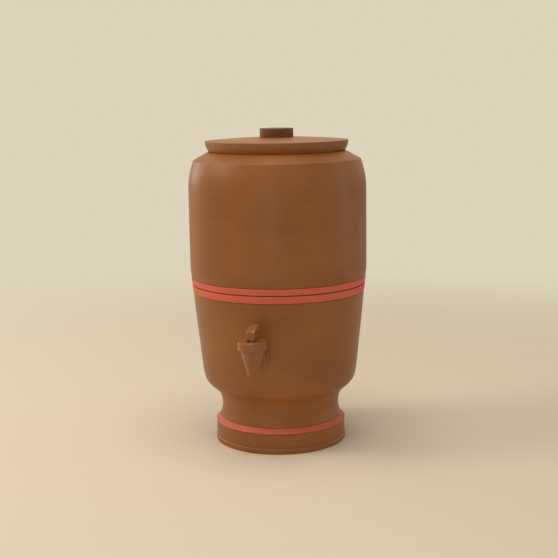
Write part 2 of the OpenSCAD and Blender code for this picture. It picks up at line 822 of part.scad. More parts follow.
// The stem's room in the lever while the lever turns about it
module stem_room() {
    room = plunger_r + seat_gap;
    far = 4 * lever_pin_h;
    circle(r = room);
    corner = room * [cos(lever_pull), sin(lever_pull)];
    front = corner + far * [sin(lever_pull), -cos(lever_pull)];
    polygon([[-room, 0], [-room, -far], [0, -far], front, corner]);
}

module lever_place() {
    translate([0, -tap_y, lever_pin_z]) rotate([0, 0, -lever_yaw]) children();
}

// Draws a side view as a plate of width w across the lever
module across(w) {
    translate([w / 2, 0, 0]) rotate([90, 0, -90]) linear_extrude(w) children();
}

module tap_lever() {
    front = lever_front_u + 1;
    back = lever_tip_u + 1;
    low = -2 * heel_h;
    high = lever_tip_v + 1;
    color(TAP_BROWN)
        lever_place()
            difference() {
                intersection() {
                    across(lever_w) lever_side();
                    translate([0, 0, low])
                        linear_extrude(high - low)
                            polygon([
                                [-lever_w / 2, -front], [lever_w / 2, -front], [lever_w / 2, 0],
                                [lever_tip_w / 2, back], [-lever_tip_w / 2, back], [-lever_w / 2, 0]
                            ]);
                }
                across(2 * (plunger_r + seat_gap)) stem_room();
                rotate([0, 90, 0]) cylinder(r = lever_pin_r + run_gap, h = 2 * lever_w, center = true);
            }
}

module tap_lever_pin() {
    color(STEEL)
        lever_place() rotate([0, 90, 0]) cylinder(r = lever_pin_r, h = lever_w - 0.6, center = true);
}

foot();
foot_band();
lower_chamber();
lower_band();
upper_chamber();
upper_band();
lid();
lid_knob();
candle_shell(-1);  // candle_shell_left
candle_shell(1);  // candle_shell_right
candle_core(-1);  // candle_core_left
candle_core(1);  // candle_core_right
candle_base(-1);  // candle_base_left
candle_base(1);  // candle_base_right
candle_gaskets();
candle_nuts();
float_valve(-1);  // float_valve_left
float_valve(1);  // float_valve_right
float_arm(-1);  // float_arm_left
float_arm(1);  // float_arm_right
float_pad(-1);  // float_pad_left
float_pad(1);  // float_pad_right
float_ball(-1);  // float_left
float_ball(1);  // float_right
float_pins();
tap_body();
tap_outer_washer();
tap_inner_washer();
tap_nut();
tap_bonnet_gasket();
tap_bonnet();
tap_plunger();
tap_seat_cup();
tap_spring();
tap_lever();
tap_lever_pin();
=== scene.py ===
import json
import math

import bmesh
import bpy
from mathutils import Matrix, Vector


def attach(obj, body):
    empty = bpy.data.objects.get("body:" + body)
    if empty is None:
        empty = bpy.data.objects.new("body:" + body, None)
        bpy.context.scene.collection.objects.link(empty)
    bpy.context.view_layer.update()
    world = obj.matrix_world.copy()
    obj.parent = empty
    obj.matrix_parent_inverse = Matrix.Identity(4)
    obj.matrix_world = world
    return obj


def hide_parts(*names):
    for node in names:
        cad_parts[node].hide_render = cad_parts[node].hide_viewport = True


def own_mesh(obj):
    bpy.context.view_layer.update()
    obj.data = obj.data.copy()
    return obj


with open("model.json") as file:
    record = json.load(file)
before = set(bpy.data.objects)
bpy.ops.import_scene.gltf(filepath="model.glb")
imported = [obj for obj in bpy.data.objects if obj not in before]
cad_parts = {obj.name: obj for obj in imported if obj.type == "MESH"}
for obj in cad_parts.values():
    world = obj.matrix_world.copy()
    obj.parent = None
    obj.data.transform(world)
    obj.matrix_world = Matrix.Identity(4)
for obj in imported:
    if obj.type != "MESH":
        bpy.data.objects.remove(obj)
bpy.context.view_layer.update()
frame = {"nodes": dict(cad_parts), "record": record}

mm = 0.001
sharpAngle = math.radians(38)  # edges this sharp are shaded as edges
bevelAngle = math.radians(40)  # edges this sharp are broken on softened copies
rimAngle = math.radians(50)    # and on the lever
flatAngle = math.radians(1)    # faces this close to one plane are joined
samePoint = 0.001 * mm         # points this close are one


def linearColor(hexText):
    # sRGB hex to the linear colour that a socket takes
    parts = [int(hexText[i:i + 2], 16) / 255 for i in (1, 3, 5)]
    return [c / 12.92 if c <= 0.04045 else ((c + 0.055) / 1.055) ** 2.4 for c in parts] + [1]


def perMetre(size):
    # scale of a pattern whose grains or waves are this many mm
    return 1000 / size


def addNode(tree, kind, inputs=None, **settings):
    node = tree.nodes.new(kind)
    for name, value in settings.items():
        setattr(node, name, value)
    for name, value in (inputs or {}).items():
        if isinstance(value, bpy.types.NodeSocket):
            tree.links.new(value, node.inputs[name])
        else:
            node.inputs[name].default_value = value
    return node


def noise(tree, place, size, detail, roughness=0.5):
    return addNode(tree, "ShaderNodeTexNoise", {
        "Vector": place, "Scale": perMetre(size), "Detail": detail,
        "Roughness": roughness}).outputs["Fac"]


def aroundPot(tree, place, squeeze):
    # squeezed sideways, a noise runs round the pot as turning rings and brush strokes do
    return addNode(tree, "ShaderNodeMapping", {
        "Vector": place, "Scale": (squeeze, squeeze, 1)}).outputs["Vector"]


def spread(tree, value, low=0, high=1, toLow=0, toHigh=1):
    # low to high becomes toLow to toHigh, and what lies beyond is cut off
    return addNode(tree, "ShaderNodeMapRange", {
        "Value": value, "From Min": low, "From Max": high, "To Min": toLow, "To Max": toHigh},
        clamp=True).outputs["Result"]


def combined(tree, operation, first, second):
    return addNode(tree, "ShaderNodeMath", {0: first, 1: second}, operation=operation).outputs["Value"]


def mixed(tree, share, first, second):
    # share 0 is the first colour and share 1 the second
    return addNode(tree, "ShaderNodeMix", {"Factor": share, 6: first, 7: second},
                   data_type="RGBA").outputs[2]


def relief(tree, height, strength, depth, under=None):
    # depth in mm; under is a coarser relief that this one lies on
    inputs = {"Height": height, "Strength": strength, "Distance": depth * mm}
    if under is not None:
        inputs["Normal"] = under
    return addNode(tree, "ShaderNodeBump", inputs).outputs["Normal"]


def newMaterial(name, shader):
    # shader holds the values that are the same all over the surface
    material = bpy.data.materials.new(name)
    material.use_nodes = True
    tree = material.node_tree
    surface = tree.nodes["Principled BSDF"]
    for socket, value in shader.items():
        surface.inputs[socket].default_value = value
    return material, tree, addNode(tree, "ShaderNodeTexCoord").outputs["Object"]


def dress(material, colour, roughness, normal):
    links = material.node_tree.links
    surface = material.node_tree.nodes["Principled BSDF"]
    links.new(colour, surface.inputs["Base Color"])
    links.new(roughness, surface.inputs["Roughness"])
    links.new(normal, surface.inputs["Normal"])
    return material


# ---- finishes ----

# low and high are the part of a noise's range that makes the tone
potClay = {
    "dark": "#8B5327", "light": "#9B602D", "pale": "#B17B4A", "spot": "#5A351C",
    "sheen": 0.42, "smooth": 0.36, "rough": 0.46,
    "cloud": 90,       # mm across a cloud of lighter or darker clay
    "cloudLow": 0.32, "cloudHigh": 0.68,
    "ring": 5,         # mm between turning rings
    "ringSqueeze": 0.05, "ringLow": 0.35, "ringHigh": 0.75, "ringTone": 0.12,
    "grain": 2.2,      # coarser than the real grain of 0.3 mm, so that it shows
    "grainLow": 0.3, "grainHigh": 0.7,
    "grog": 5,         # mm between grains of grog
    "grogCore": 0.10, "grogEdge": 0.26, "darkShare": 0.12, "paleShare": 0.10,
    "spotTone": 0.42, "paleTone": 0.252,
    "ringDepth": 0.10, "ringRise": 0.3, "grainDepth": 0.10, "grainRise": 0.25
}
# painted light: the lid's clay is a lighter copy of the pot's clay, standing in for the light that the
# lid's top catches
paintedLightLidClay = dict(potClay, dark="#8E562D", light="#9E6535", pale="#B78258", cloud=60, ringTone=0.2)
# the knob's clay is a darker and rougher copy of the pot's clay
knobClay = dict(potClay, dark="#683E20", light="#754728", pale="#895B36", cloud=30,
                smooth=0.50, rough=0.60)


def firedClay(name, finish):
    # Earthenware, turned on a wheel, sponged and fired: matt with a soft sheen, cloudy in tone,
    # fine rings from the sponge and a few dark and pale grains of grog.
    f = finish
    material, tree, place = newMaterial(name, {"IOR": 1.5, "Specular IOR Level": f["sheen"]})
    clouds = noise(tree, place, f["cloud"], 3)
    rings = noise(tree, aroundPot(tree, place, f["ringSqueeze"]), f["ring"], 4, 0.6)
    grain = noise(tree, place, f["grain"], 5, 0.65)
    grog = addNode(tree, "ShaderNodeTexVoronoi",
                   {"Vector": place, "Scale": perMetre(f["grog"]), "Randomness": 1})
    pick = addNode(tree, "ShaderNodeSeparateColor", {"Color": grog.outputs["Color"]})

    base = mixed(tree, spread(tree, clouds, f["cloudLow"], f["cloudHigh"]),
                 linearColor(f["dark"]), linearColor(f["light"]))
    ringed = mixed(tree, spread(tree, rings, f["ringLow"], f["ringHigh"], 0, f["ringTone"]),
                   base, linearColor(f["pale"]))
    # about one grain in eight is dark and one in ten is pale
    near = spread(tree, grog.outputs["Distance"], f["grogCore"], f["grogEdge"], 1, 0)
    isDark = combined(tree, "LESS_THAN", pick.outputs["Red"], f["darkShare"])
    isPale = combined(tree, "LESS_THAN", pick.outputs["Green"], f["paleShare"])
    darkPart = combined(tree, "MULTIPLY", combined(tree, "MULTIPLY", near, isDark), f["spotTone"])
    palePart = combined(tree, "MULTIPLY", combined(tree, "MULTIPLY", near, isPale), f["paleTone"])
    spotted = mixed(tree, darkPart, ringed, linearColor(f["spot"]))
    coloured = mixed(tree, palePart, spotted, linearColor(f["pale"]))

    worn = spread(tree, grain, f["grainLow"], f["grainHigh"], f["smooth"], f["rough"])
    ridges = relief(tree, rings, f["ringDepth"], f["ringRise"])
    return dress(material, coloured, worn, relief(tree, grain, f["grainDepth"], f["grainRise"], ridges))


slipPaint = {
    "dark": "#D65E4C", "light": "#E46E5A", "thin": "#C4664A", "sheen": 0.35,
    "bristle": 2.4, "squeeze": 0.04, "streakLow": 0.3, "streakHigh": 0.7,
    "load": 38,        # mm along a stroke before the brush runs dry
    "thinLow": 0.42, "thinHigh": 0.75, "thinTone": 0.3,
    "smooth": 0.5, "rough": 0.62, "depth": 0.18, "rise": 0.15
}


def paintedSlip():
    # Iron-red slip brushed on while the pot turns, then fired: opaque, a little rougher than the
    # clay, with long brush streaks and thin places where the clay greys it.
    f = slipPaint
    material, tree, place = newMaterial("redSlip", {"IOR": 1.5, "Specular IOR Level": f["sheen"]})
    bristles = noise(tree, aroundPot(tree, place, f["squeeze"]), f["bristle"], 3, 0.6)
    loads = noise(tree, place, f["load"], 2)
    brushed = mixed(tree, spread(tree, bristles, f["streakLow"], f["streakHigh"]),
                    linearColor(f["dark"]), linearColor(f["light"]))
    painted = mixed(tree, spread(tree, loads, f["thinLow"], f["thinHigh"], 0, f["thinTone"]),
                    brushed, linearColor(f["thin"]))
    return dress(material, painted, spread(tree, bristles, 0, 1, f["smooth"], f["rough"]),
                 relief(tree, bristles, f["depth"], f["rise"]))


# depth is light that sinks in, and bloom is the dust that handling leaves
plasticSkin = {
    "flow": 14, "flowLow": 0.3, "flowHigh": 0.7, "skin": 0.9, "skinDepth": 0.12, "skinRise": 0.08,
    "depth": 0, "depthReach": 1.5, "depthTint": (1, 0.6, 0.4), "bloom": 0, "bloomRough": 0.35
}
tapPlastic = dict(plasticSkin, dark="#8C582B", light="#996231", smooth=0.2, rough=0.3, bloom=0.08)
whitePlastic = dict(plasticSkin, dark="#DAD9D3", light="#E6E5E0", smooth=0.3, rough=0.42, depth=0.1)
floatPlastic = dict(plasticSkin, dark="#4A7CA8", light="#5D8DB8", smooth=0.3, rough=0.45, depth=0.1)


def mouldedPlastic(name, finish):
    # Injection-moulded polypropylene: one colour with a faint flow, a fine spark-eroded skin
    # and a soft gloss that is broken by handling.
    f = finish
    material, tree, place = newMaterial(name, {
        "IOR": 1.49, "Subsurface Weight": f["depth"], "Subsurface Radius": f["depthTint"],
        "Subsurface Scale": f["depthReach"] * mm, "Sheen Weight": f["bloom"],
        "Sheen Roughness": f["bloomRough"]})
    flow = noise(tree, place, f["flow"], 2)
    skin = noise(tree, place, f["skin"], 3)
    colour = mixed(tree, spread(tree, flow, f["flowLow"], f["flowHigh"]),
                   linearColor(f["dark"]), linearColor(f["light"]))
    handled = spread(tree, flow, f["flowLow"], f["flowHigh"], f["smooth"], f["rough"])
    return dress(material, colour, handled, relief(tree, skin, f["skinDepth"], f["skinRise"]))


ceramic = {
    "dark": "#D9D3C4", "light": "#E6E1D6", "sheen": 0.3, "stain": 30, "stainLow": 0.3, "stainHigh": 0.7,
    "pore": 1.2, "smooth": 0.7, "rough": 0.9, "depth": 0.3, "rise": 0.2
}


def filterCeramic():
    # Diatomite ceramic, slip-cast and unglazed: chalk white, dead matt, with fine pores.
    f = ceramic
    material, tree, place = newMaterial("filterCeramic", {"IOR": 1.5, "Specular IOR Level": f["sheen"]})
    stain = noise(tree, place, f["stain"], 4)
    pores = noise(tree, place, f["pore"], 4)
    colour = mixed(tree, spread(tree, stain, f["stainLow"], f["stainHigh"]),
                   linearColor(f["dark"]), linearColor(f["light"]))
    return dress(material, colour, spread(tree, pores, 0, 1, f["smooth"], f["rough"]),
                 relief(tree, pores, f["depth"], f["rise"]))


carbon = {
    "face": "#262524", "gap": "#0F0F0F", "sheen": 0.4, "granule": 1.6,
    "smooth": 0.5, "rough": 0.85, "depth": 0.6, "rise": 0.4
}


def packedCarbon():
    # Activated carbon granules pressed into a block: black, matt and coarse, with painted shade in the
    # gaps between granules.
    f = carbon
    material, tree, place = newMaterial("packedCarbon", {"IOR": 1.5, "Specular IOR Level": f["sheen"]})
    granules = addNode(tree, "ShaderNodeTexVoronoi",
                       {"Vector": place, "Scale": perMetre(f["granule"])}).outputs["Distance"]
    # painted shade: the gaps between granules are darker than the granules' faces
    colour = mixed(tree, granules, linearColor(f["face"]), linearColor(f["gap"]))
    return dress(material, colour, spread(tree, granules, 0, 1, f["smooth"], f["rough"]),
                 relief(tree, granules, f["depth"], f["rise"]))


rubber = {
    "black": "#2B2726", "dusty": "#4C4541", "sheen": 0.35, "talc": 6,
    "dustLow": 0.45, "dustHigh": 0.8, "dustTone": 0.5,
    "smooth": 0.5, "rough": 0.8, "depth": 0.15, "rise": 0.1
}


def mouldedRubber():
    # Nitrile rubber, compression moulded: nearly black, matt, with a dusting of talc.
    f = rubber
    material, tree, place = newMaterial("mouldedRubber", {
        "IOR": 1.52, "Specular IOR Level": f["sheen"]})
    talc = noise(tree, place, f["talc"], 5)
    colour = mixed(tree, spread(tree, talc, f["dustLow"], f["dustHigh"], 0, f["dustTone"]),
                   linearColor(f["black"]), linearColor(f["dusty"]))
    return dress(material, colour, spread(tree, talc, 0, 1, f["smooth"], f["rough"]),
                 relief(tree, talc, f["depth"], f["rise"]))


steel = {
    "dark": "#A9AAAC", "light": "#C9CACC", "line": 0.8,
    "smooth": 0.22, "rough": 0.4, "depth": 0.1, "rise": 0.05
}


def drawnSteel():
    # Stainless wire, cold drawn: bright grey with fine lines from the die.
    f = steel
    material, tree, place = newMaterial("drawnSteel", {"Metallic": 1})
    lines = noise(tree, place, f["line"], 4)
    colour = mixed(tree, lines, linearColor(f["dark"]), linearColor(f["light"]))
    return dress(material, colour, spread(tree, lines, 0, 1, f["smooth"], f["rough"]),
                 relief(tree, lines, f["depth"], f["rise"]))


finishes = {
    "clay": firedClay("firedClay", potClay),
    "lid_clay": firedClay("paintedLightLidClay", paintedLightLidClay),
    "knob_clay": firedClay("knobClay", knobClay),
    "red_slip": paintedSlip(),
    "tap_plastic": mouldedPlastic("tapPlastic", tapPlastic),
    "white_plastic": mouldedPlastic("whitePlastic", whitePlastic),
    "float_plastic": mouldedPlastic("floatPlastic", floatPlastic),
    "candle_ceramic": filterCeramic(),
    "carbon": packedCarbon(),
    "rubber": mouldedRubber(),
    "steel": drawnSteel()
}
slotOf = {entry["node"]: entry["material_slot"] for entry in frame["record"]["subparts"]}
for nodeName, node in frame["nodes"].items():
    node.data.materials.clear()
    node.data.materials.append(finishes[slotOf[nodeName]])
print("finishes:", len(finishes))


# ---- shapes ----

def smoothWall(stations, perSpan):
    # points (radius, height) of a wall that flows through the stations
    def flare(i):
        low = stations[max(0, i - 1)]
        high = stations[min(len(stations) - 1, i + 1)]
        return (high[0] - low[0]) / (high[1] - low[1])

    points = []
    for i in range(len(stations) - 1):
        (lowR, lowZ), (highR, highZ) = stations[i], stations[i + 1]
        for step in range(perSpan):
            t = step / perSpan
            eased = t * t * (3 - 2 * t)
            pull = flare(i) * t * (1 - t) ** 2 - flare(i + 1) * t * t * (1 - t)
            points.append((lowR + (highR - lowR) * eased + (highZ - lowZ) * pull,
                           lowZ + (highZ - lowZ) * t))
    return points


def roundCorners(corners, steps=4):
    # corners are (radius, height) or (radius, height, rounding); the first and the last stay sharp
    points = []
    for i, corner in enumerate(corners):
        here = Vector(corner[:2])
        if len(corner) < 3 or i in (0, len(corners) - 1):
            points.append(tuple(here))
            continue
        back, ahead = Vector(corners[i - 1][:2]) - here, Vector(corners[i + 1][:2]) - here
        # a rounding takes less than half of each side
        reach = min(corner[2], back.length * 0.49, ahead.length * 0.49)
        start, end = here + back.normalized() * reach, here + ahead.normalized() * reach
        for step in range(steps + 1):
            t = step / steps
            points.append(tuple(start * (1 - t) ** 2 + here * 2 * t * (1 - t) + end * t * t))
    return points


def spinOutline(outline, turns=96, closed=True):
    # turns an outline of (radius, height) points in mm about the Z axis
    bm = bmesh.new()
    verts = [bm.verts.new((r * mm, 0, z * mm)) for r, z in outline]
    pairs = list(zip(verts, verts[1:]))
    if closed:
        pairs.append((verts[-1], verts[0]))
    edges = [bm.edges.new(pair) for pair in pairs]
    bmesh.ops.spin(bm, geom=verts + edges, cent=(0, 0, 0), axis=(0, 0, 1), angle=2 * math.pi,
                   steps=turns, use_merge=True)
    bmesh.ops.remove_doubles(bm, verts=bm.verts, dist=samePoint)
    bmesh.ops.recalc_face_normals(bm, faces=bm.faces)
    return bm


def spinRod(radius, length, turns):
    return spinOutline([(0, 0), (radius, 0), (radius, length), (0, length)], turns)


def shift(bm, x=0, y=0, z=0):
    bmesh.ops.translate(bm, verts=bm.verts, vec=(x * mm, y * mm, z * mm))
    return bm


def layForward(bm, y, z):
    # lays an upright shape down so that its foot is at y and it points towards -Y
    bmesh.ops.rotate(bm, verts=bm.verts, cent=(0, 0, 0),
                     matrix=Matrix.Rotation(math.pi / 2, 3, "X"))
    return shift(bm, 0, y, z)


def breakEdges(bm, edges, width, rounds):
    bmesh.ops.bevel(bm, geom=edges, offset=width * mm, offset_type="OFFSET", affect="EDGES",
                    segments=rounds, profile=0.5, material=-1, clamp_overlap=True)


def toObject(name, bm):
    mesh = bpy.data.meshes.new(name)
    bm.to_mesh(mesh)
    bm.free()
    piece = bpy.data.objects.new(name, mesh)
    bpy.context.collection.objects.link(piece)
    return piece


def applyModifiers(piece):
    depsgraph = bpy.context.evaluated_depsgraph_get()
    shaped = bpy.data.meshes.new_from_object(piece.evaluated_get(depsgraph))
    piece.modifiers.clear()
    old = piece.data
    piece.data = shaped
    bpy.data.meshes.remove(old)
    shaped.name = piece.name


def dropSlivers(piece):
    # cuts and bevels leave faces without area along an edge, and this closes them up
    tiny = 0.004 * mm
    bm = bmesh.new()
    bm.from_mesh(piece.data)
    bmesh.ops.remove_doubles(bm, verts=bm.verts, dist=tiny)
    bmesh.ops.triangulate(bm, faces=[face for face in bm.faces if len(face.verts) > 4],
                          ngon_method="BEAUTY")
    for _ in range(2):
        bmesh.ops.dissolve_degenerate(bm, dist=tiny, edges=bm.edges)
    bmesh.ops.holes_fill(bm, edges=[edge for edge in bm.edges if edge.is_boundary], sides=4)
    bmesh.ops.recalc_face_normals(bm, faces=bm.faces)
    bm.to_mesh(piece.data)
    bm.free()


def carve(piece, tools, operation="DIFFERENCE"):
    # cuts each tool out of the piece, or joins it on, and throws the tools away
    for tool in tools:
        boolean = piece.modifiers.new("carve", "BOOLEAN")
        boolean.operation = operation
        boolean.solver = "EXACT"
        boolean.object = tool
    applyModifiers(piece)
    for tool in tools:
        mesh = tool.data
        bpy.data.objects.remove(tool)
        bpy.data.meshes.remove(mesh)


def finishPiece(piece, body, *nodes):
    slotName = slotOf[nodes[0]]
    piece.data.materials.clear()
    piece.data.materials.append(finishes[slotName])
    piece.data.shade_smooth()
    piece.data.set_sharp_from_angle(angle=sharpAngle)
    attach(piece, body)
    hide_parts(*nodes)
    return piece


def softenedCopy(name, node, body, width):
    # a copy of a CAD piece with its flats joined up and its edges broken as a mould leaves them
    bm = bmesh.new()
    bm.from_mesh(frame["nodes"][node].data)
    bmesh.ops.remove_doubles(bm, verts=bm.verts, dist=samePoint)
    bmesh.ops.dissolve_limit(bm, angle_limit=flatAngle, verts=bm.verts, edges=bm.edges)
    edges = [edge for edge in bm.edges if edge.is_manifold and edge.calc_face_angle(0) > bevelAngle]
    breakEdges(bm, edges, width, 2)
    piece = toObject(name, bm)
    dropSlivers(piece)
    return finishPiece(piece, body, node)


# ---- the pot ----

# lines that bound the painted bands: half is the height to the deepest point, full to the far edge
scribe = {"deep": 0.6, "half": 0.5, "full": 1.1}

# Corners are (radius, height) or (radius, height, rounding), in mm. The named outlines run along
# the wall as the outline of the whole piece does.
pot = {
    "turns": 200,
    "footRing": 86.7, "beadR": 100.7, "beadTop": 7.7, "beadEdge": 0.8, "beadLine": 0.3, "beadFoot": 3,
    "footR": 99.9, "footTop": 31,
    "shoulder": (93.7, 38),
    "neck": [(92, 44.65), (90.3, 57), (92.55, 69.7), (95.9, 77.1), (103.2, 84.3), (110.5, 90.9),
             (115.3, 97.8), (118.4, 110), (123.7, 159.6), (128.2, 201.8)],
    "shoulderIn": 0.25, "shoulderScribe": 0.7,
    "bandLow": (131, 234.1), "bandIn": 0.04,
    "joint": (132.2, 245.4), "jointIn": 0.1, "jointChamfer": 0.8, "seamDeep": 1.7, "seamEdge": 0.3,
    "wall": 12, "inner": [(119, 234.1, 1.0), (111.7, 159.6, 6), (106.6, 114, 3)],
    "sump": [(106.4, 114), (105.9, 100, 14), (0, 100)],
    "hollow": [(0, 87), (78.3, 87, 16), (78.3, 57, 8)]
}
tap = {
    "y": -160, "shankZ": 154.5, "shankR": 8, "shankBore": 4.8, "shankEnd": -99.32, "holeR": 9,
    "flangeR": 15.6, "flangeT": 3, "washerT": 2.5, "washerGap": 0.15,
    "outerSeat": -120.18, "innerSeat": -113.82, "recessR": 15.65, "recessDeep": 30, "innerDeep": 20,
    "drillFrom": -90, "drillDeep": 60, "filletOut": 1.6, "filletLong": 3,
    "spoutZ": 136.5, "spoutR": 7.7, "spoutBore": 5.1, "seatZ": 147.5,
    "bodyR": 17.8, "bonnetLow": 174.5, "threadR": 16.8, "wall": 2.3, "bury": 0.8, "bodyTop": 181.1,
    "bonnetR": 21.2, "bonnetTop": 186.5, "bonnetUnder": 182.5, "bonnetGap": 0.2, "threadGap": 0.15,
    "stemHole": 3.9
}


def tapDrill(name, radius, y, length, turns):
    # a rod across the wall at the height of the tap, to cut with
    return toObject(name, layForward(spinRod(radius, length, turns), y, tap["shankZ"]))


def lowerVessel():
    p = pot
    deep, half, full = scribe["deep"], scribe["half"], scribe["full"]
    footR, footTop, beadTop = p["footR"], p["footTop"], p["beadTop"]
    outside = roundCorners([
        (p["footRing"], 0), (p["beadR"], 0, 1.0), (p["beadR"], beadTop - p["beadEdge"], 0.4),
        (footR - deep, beadTop + p["beadLine"], 0.3), (footR, beadTop + p["beadFoot"], 0.5),
        (footR, footTop - 3 * half), (footR - deep, footTop - 2 * half), (footR, footTop - half),
        (footR, footTop), p["shoulder"]])
    shoulderR, shoulderZ = p["shoulder"]
    wallFoot = (shoulderR - p["shoulderIn"], shoulderZ + full)
    lowR, lowZ = p["bandLow"]
    wallTop = (lowR - p["bandIn"], lowZ - full)
    wall = [p["shoulder"], (shoulderR - p["shoulderScribe"], shoulderZ + half)]
    wall += smoothWall([wallFoot, *p["neck"], wallTop], 6)
    wall += [wallTop, (lowR - deep, lowZ - half)]
    jointR, jointZ = p["joint"]
    seamR, edge = jointR - p["seamDeep"], p["seamEdge"]
    lip = roundCorners([
        p["bandLow"], (jointR - p["jointIn"], jointZ - p["jointChamfer"], 0.3),
        (seamR, jointZ - edge, 0.2), (seamR - edge, jointZ), (jointR - p["wall"], jointZ, 1.5),
        *p["inner"]])
    inside = roundCorners(p["sump"], 8)
    hollow = roundCorners([*p["hollow"], (p["footRing"], 0)], 8)
    outline = outside[:-1] + wall + lip[:-1] + inside + hollow[:-1]
    piece = toObject("lowerVessel", spinOutline(outline, p["turns"]))
    # the tap's hole, and the flats that its washers lie on
    t = tap
    carve(piece, [
        tapDrill("hole", t["holeR"], t["drillFrom"], t["drillDeep"], 64),
        tapDrill("seat", t["recessR"], t["outerSeat"], t["recessDeep"], 96),
        tapDrill("innerSeat", t["recessR"], t["innerSeat"] + t["innerDeep"], t["innerDeep"], 96)])
    dropSlivers(piece)
    return finishPiece(piece, "reservoir", "lower_chamber", "foot")


upper = {
    "stations": [(133.2, 255.4), (134.16, 262), (134.8, 270), (134.8, 385), (134.5, 396), (133.7, 405),
                 (132.1, 414), (129.8, 423), (126.9, 432.6)],
    "scribeIn": 0.15, "rim": (104, 445), "mouth": 91,
    "inner": [(91, 434, 5), (112.9, 423.6, 14), (123.8, 392, 20), (123.8, 270, 10)],
    "floorR": 122.7, "floorRound": 16, "floorTop": 243.4, "floorUnder": 231.4,
    "spigotLow": 115.8, "spigotHigh": 117.2,
    "candleX": 52, "stemHole": 6.6, "drillLow": 225, "drillDeep": 30
}


def upperVessel():
    p = upper
    jointR, jointZ = pot["joint"]
    seamR, edge = jointR - pot["seamDeep"], pot["seamEdge"]
    spigot = roundCorners([
        (0, p["floorUnder"]), (p["spigotLow"], p["floorUnder"], 3), (p["spigotHigh"], jointZ, 0.5),
        (seamR - edge, jointZ), (seamR, jointZ + edge, 0.2),
        (jointR - pot["jointIn"], jointZ + pot["jointChamfer"], 0.3), p["stations"][0]])
    lowR, lowZ = p["stations"][0]
    wall = [(lowR, lowZ), (lowR - scribe["deep"], lowZ + scribe["half"])]
    wall += smoothWall([(lowR + p["scribeIn"], lowZ + scribe["full"]), *p["stations"][1:]], 6)
    shoulder = roundCorners([
        wall[-1], (*p["stations"][-1], 1.6), (*p["rim"], 0.9), (p["mouth"], p["rim"][1], 1.4),
        *p["inner"], (p["floorR"], p["floorTop"], p["floorRound"]), (0, p["floorTop"])], 8)
    piece = toObject("upperVessel", spinOutline(spigot[:-1] + wall + shoulder[1:], pot["turns"]))
    holes = []
    for side in (-1, 1):
        drill = spinRod(p["stemHole"], p["drillDeep"], 48)
        holes.append(toObject("drill", shift(drill, side * p["candleX"], 0, p["drillLow"])))
    carve(piece, holes)
    dropSlivers(piece)
    return finishPiece(piece, "upper", "upper_chamber")


slip = {"thick": 0.5, "sunk": 0.25, "fade": 0.49}


def slipBand(name, body, node, low, high):
    # a coat of slip that fades out at both edges, laid on the cone between two stations
    thick, sunk, fade = slip["thick"], slip["sunk"], slip["fade"]
    outline = roundCorners([
        (low[0] - sunk, low[1]), (low[0] + thick * 0.5, low[1], 0.3),
        (low[0] + thick, low[1] + fade, 0.5), (high[0] + thick, high[1] - fade, 0.5),
        (high[0] + thick * 0.5, high[1], 0.3), (high[0] - sunk, high[1])])
    return finishPiece(toObject(name, spinOutline(outline, pot["turns"])), body, node)


lid = {
    "skirtR": 89, "skirtIn": 81, "skirtLow": 433, "seat": 445,
    "side": [(102.6, 445), (104.84, 448.52), (106.74, 453), (107.92, 457.48), (108.2, 461)],
    "edgeRound": 1.3, "edgeWide": 12, "domeTop": 465.8, "domeR": 1221.9,
    "domeRings": (84, 72, 60, 48, 36, 24, 14),
    "hollowTop": 454.8, "hollowRound": 8, "tenonHole": 9.3, "tenonDeep": 6
}


def domeZ(r):
    # height of the lid's dome at radius r
    return lid["domeTop"] - lid["domeR"] + math.sqrt(lid["domeR"] ** 2 - r * r)


def turnedLid():
    p = lid
    under = roundCorners([
        (p["skirtIn"], p["skirtLow"]), (p["skirtR"], p["skirtLow"], 1.4), (p["skirtR"], p["seat"], 1.0),
        (p["side"][0][0], p["seat"], 0.8), p["side"][1]])
    side = smoothWall(p["side"][1:], 4)
    edgeR, edgeZ = p["side"][-1]
    flatR = edgeR - p["edgeWide"]
    edge = roundCorners([side[-1], (edgeR, edgeZ, p["edgeRound"]), (flatR, domeZ(flatR))], 6)
    dome = [(r, domeZ(r)) for r in p["domeRings"]]
    socket = roundCorners([
        dome[-1], (p["tenonHole"], domeZ(p["tenonHole"]), 0.4),
        (p["tenonHole"], p["domeTop"] - p["tenonDeep"], 0.5), (0, p["domeTop"] - p["tenonDeep"])])
    hollow = roundCorners([
        (0, p["hollowTop"]), (p["skirtIn"], p["hollowTop"], p["hollowRound"]),
        (p["skirtIn"], p["skirtLow"])], 6)
    outline = under[:-1] + side + edge[1:] + dome[:-1] + socket + hollow[:-1]
    return finishPiece(toObject("turnedLid", spinOutline(outline, pot["turns"])), "cover", "lid")


knob = {"r": 25.3, "top": 479.0, "tenonR": 9, "tenonLow": 460.1, "restR": 17, "edge": 1.2, "side": 3}


def turnedKnob():
    p = knob
    outline = roundCorners([
        (0, p["tenonLow"]), (p["tenonR"], p["tenonLow"], 0.6), (p["tenonR"], domeZ(p["tenonR"])),
        (p["restR"], domeZ(p["restR"])), (p["r"], domeZ(p["r"]), 0.5), (p["r"], p["top"] - p["side"]),
        (p["r"], p["top"], p["edge"]), (0, p["top"])])
    return finishPiece(toObject("turnedKnob", spinOutline(outline, 120)), "cover", "lid_knob")


def slipBands():
    jointR, jointZ = pot["joint"]
    edgeR, step = jointR - pot["jointIn"], pot["jointChamfer"]
    slipBand("footBand", "reservoir", "foot_band", (pot["footR"], pot["footTop"]), pot["shoulder"])
    slipBand("lowerBand", "reservoir", "lower_band", pot["bandLow"], (edgeR, jointZ - step))
    slipBand("upperBand", "upper", "upper_band", (edgeR, jointZ + step), upper["stations"][0])


lowerVessel()
upperVessel()
slipBands()
turnedLid()
turnedKnob()
print("pot turned")


# ---- filter candles ----

